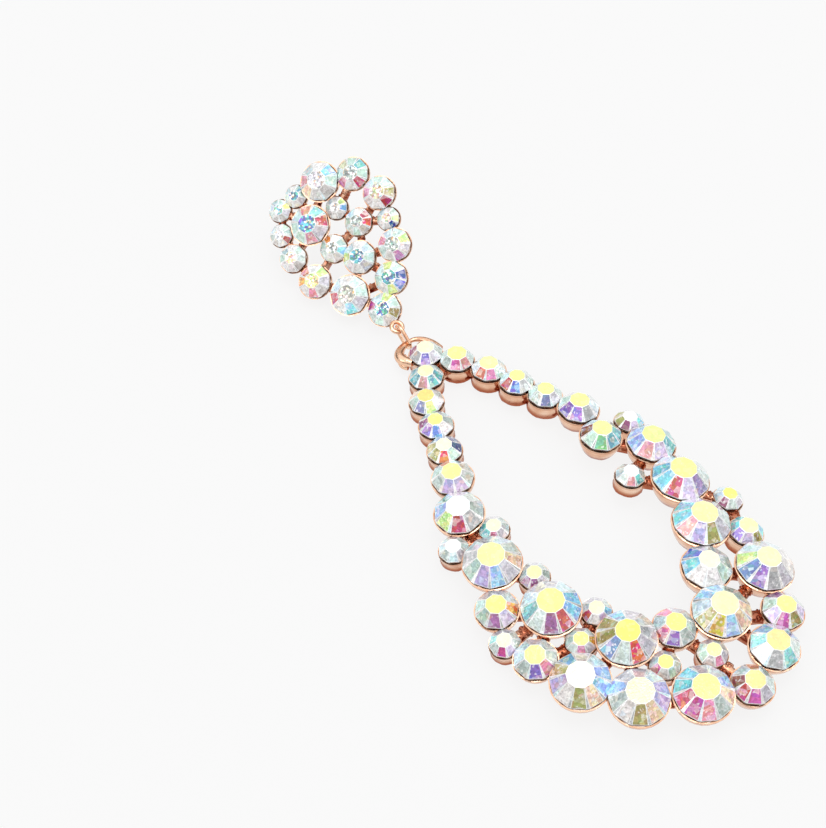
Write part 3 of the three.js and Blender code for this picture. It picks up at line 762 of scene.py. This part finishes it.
def facet_crystal():
    """Each face's colour, varied shard by shard with painted reflections and glints as strongly as
    the face sparkles.
    """
    material, tree, shader, place = new_material("coated_crystal")
    flash = node(tree, "ShaderNodeAttribute", attribute_name="flash")
    sparkle = flash.outputs["Alpha"]
    fine = math_of(tree, "GREATER_THAN", sparkle, 1.0)
    number = math_of(tree, "MULTIPLY_ADD", fine, FINE_SHARDS - SHARDS, SHARDS)
    shards = node(tree, "ShaderNodeTexVoronoi", {"Vector": place, "Scale": number})
    chips = node(tree, "ShaderNodeTexVoronoi", {"Vector": place, "Scale": CHIPS})
    pick = node(tree, "ShaderNodeSeparateColor", {0: shards.outputs["Color"]}).outputs
    small_pick = node(tree, "ShaderNodeSeparateColor", {0: chips.outputs["Color"]}).outputs

    # Painted reflections: about a third of the shards show another hue, the rest the face's own, a
    # little turned
    hues = ramp(tree, pick[0], *SHARD_HUES)
    strong = math_of(tree, "GREATER_THAN", pick[1], 0.68)
    amount = math_of(tree, "MULTIPLY", math_of(tree, "MULTIPLY", strong, sparkle), 0.75)
    turned = math_of(tree, "MULTIPLY", math_of(tree, "SUBTRACT", pick[2], 0.5), sparkle)
    turned = math_of(tree, "MULTIPLY_ADD", turned, 0.2, 0.5)
    value = math_of(tree, "MULTIPLY", math_of(tree, "SUBTRACT", pick[1], 0.45), sparkle)
    shard = node(tree, "ShaderNodeHueSaturation", {
        "Hue": turned, "Value": math_of(tree, "MULTIPLY_ADD", value, 0.9, 1.0),
        "Color": flash.outputs["Color"]})
    mixed = node(tree, "ShaderNodeMix", {0: amount, 6: shard.outputs[0], 7: hues},
                 data_type="RGBA")

    # Painted glints: each chip is a little lighter or darker, and a few are white
    glint = math_of(tree, "MULTIPLY", math_of(tree, "SUBTRACT", small_pick[0], 0.5), sparkle)
    white_glint = math_of(tree, "MULTIPLY", math_of(tree, "GREATER_THAN", small_pick[1], 0.93), sparkle)
    light = math_of(tree, "MULTIPLY_ADD", glint, 0.8, 1.0)
    lit = node(tree, "ShaderNodeVectorMath", {0: mixed.outputs[2], "Scale": light},
               operation="SCALE")
    white = node(tree, "ShaderNodeMix", {0: white_glint, 6: lit.outputs[0], 7: (1, 1, 1, 1)},
                 data_type="RGBA")
    tree.links.new(white.outputs[2], shader["Base Color"])
    shader["Roughness"].default_value = 0.07
    shader["Metallic"].default_value = 0.2
    shader["IOR"].default_value = 1.6
    shader["Coat Weight"].default_value = 0.8
    shader["Coat Roughness"].default_value = 0.03
    facets = node(tree, "ShaderNodeBump", {
        "Height": chips.outputs["Distance"], "Strength": 0.12, "Distance": 0.1 * MM})
    tree.links.new(facets.outputs[0], shader["Normal"])
    return material


crystal = facet_crystal()
cut_stone = stone_tree()


def plain_stone(size, table, crown):
    """A stone of one size with its facets' edges softened, the edges' faces marked 1 for a painted
    highlight.
    """
    mesh = grown(cut_stone, bpy.data.meshes.new("no_start"), crystal,
                 Diameter=(size + 2 * STONE_FILL) * MM, Facets=FACETS[size],
                 Table=table * size * MM, Crown=crown * size * MM,
                 Back=BACK_SHARE * size * MM, Girdle=GIRDLE * MM)
    shape = bmesh.new()
    shape.from_mesh(mesh)
    for face in shape.faces:
        face.material_index = 0
    bmesh.ops.remove_doubles(shape, verts=shape.verts, dist=WELD)
    bmesh.ops.dissolve_limit(shape, angle_limit=math.radians(1), verts=shape.verts,
                             edges=shape.edges)

    # All edges from the girdle's top upwards
    upper = [edge for edge in shape.edges if min(v.co.z for v in edge.verts) > -0.01 * MM]
    bmesh.ops.bevel(shape, geom=upper, offset=EDGE * MM, offset_type="OFFSET", segments=1,
                    profile=0.5, affect="EDGES", material=1)
    shape.to_mesh(mesh)
    shape.free()
    return mesh


plain_stones = {
    "drop": {size: plain_stone(size, DROP_TABLE[size], DROP_CROWN) for size in DROP_TABLE},
    "stud": {size: plain_stone(size, TABLE_SHARE, CROWN_SHARE) for size in FACETS},
}


def hour_of(direction):
    side, top = direction.dot(THREE_O_CLOCK), direction.dot(TWELVE_O_CLOCK)
    return math.degrees(math.atan2(side, top)) / 30 % 12


def hours_apart(a, b):
    return abs((a - b + 6) % 12 - 6)


def set_stone(seat, chance):
    """The stone's mesh in its seat, turned so that a facet meets its first flash, and painted with
    its flashes, highlights and shade.
    """
    kind = "stud" if seat.name in STUD_NAMES else "drop"
    facets = FACETS[seat.size]
    table, *words = [word.strip() for word in FLASHES[seat.name].split(",")]
    flashes = [(float(word.rsplit(" ", 1)[1]), word.rsplit(" ", 1)[0]) for word in words]
    shape = bmesh.new()
    shape.from_mesh(plain_stones[kind][seat.size])
    table_corners = [v for v in shape.verts if v.co.z > 0.15 * seat.size * MM]
    for vertex in table_corners:
        vertex.co.xy *= TABLES.get(seat.name, 1.0)
    upright = Vector((0, 0, 1)).rotation_difference(seat.up).to_matrix()
    facet = 2 * math.pi / facets
    flash_reach = 0.42 * 12 / facets + 0.25   # in hours, a little over half a facet

    def misses_flash(turn):
        middles = [turn + facet * (k + 0.5) for k in range(facets)]
        return min(hours_apart(hour_of(upright @ Vector((math.cos(m), math.sin(m), 0))),
                               flashes[0][0]) for m in middles)

    turn = min((facet * i / TURNS_TRIED for i in range(TURNS_TRIED)), key=misses_flash)
    shape.transform(Matrix.Rotation(turn, 4, "Z"))
    layer = shape.loops.layers.float_color.new("flash")
    for face in shape.faces:
        face.normal_update()
        sparkle = 0.0
        # The softened edges are painted near white, as a highlight along each facet edge
        if face.material_index == 1:
            colour = EDGE_HIGHLIGHT
        elif face.normal.z > LEVEL:
            colour, sparkle = COLOURS[table], TABLE_SPARKLE[kind]
        elif face.normal.z > SLOPING:
            seen = hour_of(upright @ (face.calc_center_median() * Vector((1, 1, 0))))
            near, name = min((hours_apart(seen, at), name) for at, name in flashes)
            sparkle = FACET_SPARKLE
            if len(face.verts) == 3:
                name, sparkle = chance.choice(CORNER_GLINTS), CORNER_SPARKLE
            elif near > flash_reach:
                name = PALE[kind][int(seen + 11.5) % 12]
            colour = COLOURS[name]
        # The girdle band is painted dark brown, as the shade between the stone and its rim
        elif face.normal.z > -SLOPING:
            colour = GIRDLE_SHADE
        else:
            colour = FOIL_GREY
        shift = chance.uniform(-10, 10)
        paint = [max(0.0, c) for c in linear([min(255, max(0, c + shift)) for c in colour])]
        for loop in face.loops:
            loop[layer] = (*paint, sparkle)
        face.material_index = 0
    shape.transform(Matrix.Translation(seat.centre) @ upright.to_4x4())
    mesh = bpy.data.meshes.new(seat.name)
    shape.to_mesh(mesh)
    shape.free()
    return mesh


def stone_piece(name, meshes, *nodes):
    piece = made_piece(name, meshes, crystal, smooth=0)
    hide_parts(*nodes)
    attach(piece, "root")


chance = random.Random(5)
for seat in drop_large + stud_large:
    stone_piece(f"{seat.name}_cut", [set_stone(seat, chance)], seat.name)
stone_piece("drop_small_stones", [set_stone(seat, chance) for seat in drop_small])
stone_piece("stud_small_stones", [set_stone(seat, chance) for seat in stud_small])

# Ear post
# A short straight steel wire with a rounded tip, brazed by a small round pad to the stud's back.
POST_RADIUS = 0.4
PAD_RADIUS = 1.3
PAD_THICKNESS = 0.46
STEEL = ((0.3, (150, 150, 148)), (0.7, (205, 204, 200)))


def drawn_steel():
    material, tree, shader, place = new_material("drawn_steel")
    scratch = node(tree, "ShaderNodeTexNoise", {"Vector": place, "Scale": 1800.0, "Detail": 4.0})
    tree.links.new(ramp(tree, scratch.outputs[0], *STEEL), shader["Base Color"])
    shader["Metallic"].default_value = 1.0
    rough = node(tree, "ShaderNodeMapRange", {
        "Value": scratch.outputs[0], "To Min": 0.2, "To Max": 0.45})
    tree.links.new(rough.outputs[0], shader["Roughness"])
    return material


steel = drawn_steel()
# The post's length and its tip are those of its own solid
corners = solid_corners("ear_post")
rise = corners @ np.array(last_seat.up)
tip = Vector(corners[rise < rise.min() + 0.02 * MM].mean(axis=0))
length = (rise.max() - rise.min()) / MM
pad_foot = length - PAD_THICKNESS

# The height over the tip and the radius there
profile = [(0, 0.16), (0.06, 0.26), (0.16, 0.35), (0.3, POST_RADIUS),
           (pad_foot - 0.16, POST_RADIUS), (pad_foot - 0.04, POST_RADIUS + 0.06),
           (pad_foot, PAD_RADIUS - 0.06), (pad_foot + 0.08, PAD_RADIUS),
           (length - 0.08, PAD_RADIUS), (length, PAD_RADIUS - 0.08)]
post_line = wire_line([tip + last_seat.up * height * MM for height, _ in profile],
                      [radius for _, radius in profile])
post = made_piece("ear_post_wire", [grown(round_wire, post_line, steel, Closed=False)], steel)
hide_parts("ear_post")
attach(post, "root")

# Table, light and camera
# The earring lies on a white sheet under large soft lights, seen from the front left and above.
SHEET = 20                # metres from its middle to its edges, which only low views reach
SHEET_GREY, SHEET_GLOW = 0.06, 0.855
SKY_STRENGTH = 1.2
CAMERA_PLACE = Vector((-127.140, -156.519, 271.109)) * MM
CAMERA_HEADING, CAMERA_DOWN, CAMERA_ROLL = -35.166, 52.394, 0.735   # degrees
LENS = 97.81              # for a sensor 36 mm wide

white = bpy.data.materials.new("white_sheet")
white.use_nodes = True
sheet_shader = white.node_tree.nodes["Principled BSDF"].inputs
sheet_shader["Base Color"].default_value = (SHEET_GREY, SHEET_GREY, SHEET_GREY, 1)
sheet_shader["Roughness"].default_value = 0.9
sheet_shader["Emission Color"].default_value = (1, 1, 1, 1)
sheet_shader["Emission Strength"].default_value = SHEET_GLOW
sheet = bpy.data.meshes.new("white_sheet")
sheet.from_pydata([(-SHEET, -SHEET, 0), (SHEET, -SHEET, 0), (SHEET, SHEET, 0),
                   (-SHEET, SHEET, 0)], [], [(0, 1, 2, 3)])
sheet.materials.append(white)
floor = bpy.data.objects.new("white_sheet", sheet)
bpy.context.scene.collection.objects.link(floor)

# The room that the earring mirrors: dark round the horizon, then a bright band, and white above
world = bpy.data.worlds.new("studio")
world.use_nodes = True
sky = world.node_tree
direction = node(sky, "ShaderNodeTexCoord").outputs["Generated"]
height = node(sky, "ShaderNodeSeparateXYZ", {0: direction}).outputs[2]
glow = ramp(sky, height, (0.0, (60, 50, 44)), (0.22, (74, 64, 58)), (0.34, (226, 226, 226)),
            (0.5, (176, 170, 166)), (0.62, (250, 251, 253)), (0.9, (255, 255, 255)))
sky.links.new(glow, sky.nodes["Background"].inputs["Color"])
sky.nodes["Background"].inputs["Strength"].default_value = SKY_STRENGTH
bpy.context.scene.world = world


def soft_light(name, place, size, power):
    lamp = bpy.data.lights.new(name, "AREA")
    lamp.shape, lamp.size, lamp.size_y, lamp.energy = "RECTANGLE", *size, power
    holder = bpy.data.objects.new(name, lamp)
    holder.location = place
    holder.rotation_euler = (-Vector(place)).to_track_quat("-Z", "Y").to_euler()
    bpy.context.scene.collection.objects.link(holder)


soft_light("overhead", place=(0.02, -0.02, 0.7), size=(0.36, 0.3), power=1.0)
soft_light("left", place=(-0.6, 0.1, 0.35), size=(0.3, 0.5), power=0.6)
soft_light("right", place=(0.55, -0.25, 0.4), size=(0.15, 0.5), power=0.5)

camera = bpy.data.objects.new("camera", bpy.data.cameras.new("camera"))
bpy.context.scene.collection.objects.link(camera)
camera.data.sensor_width = 36
camera.data.lens = LENS
camera.data.clip_start, camera.data.clip_end = 0.01, 60
camera.matrix_world = (
    Matrix.Translation(CAMERA_PLACE)
    @ Matrix.Rotation(math.radians(CAMERA_HEADING), 4, "Z")
    @ Matrix.Rotation(math.radians(90 - CAMERA_DOWN), 4, "X")
    @ Matrix.Rotation(math.radians(CAMERA_ROLL), 4, "Z"))
bpy.context.scene.camera = camera
bpy.context.scene.view_settings.view_transform = "Standard"
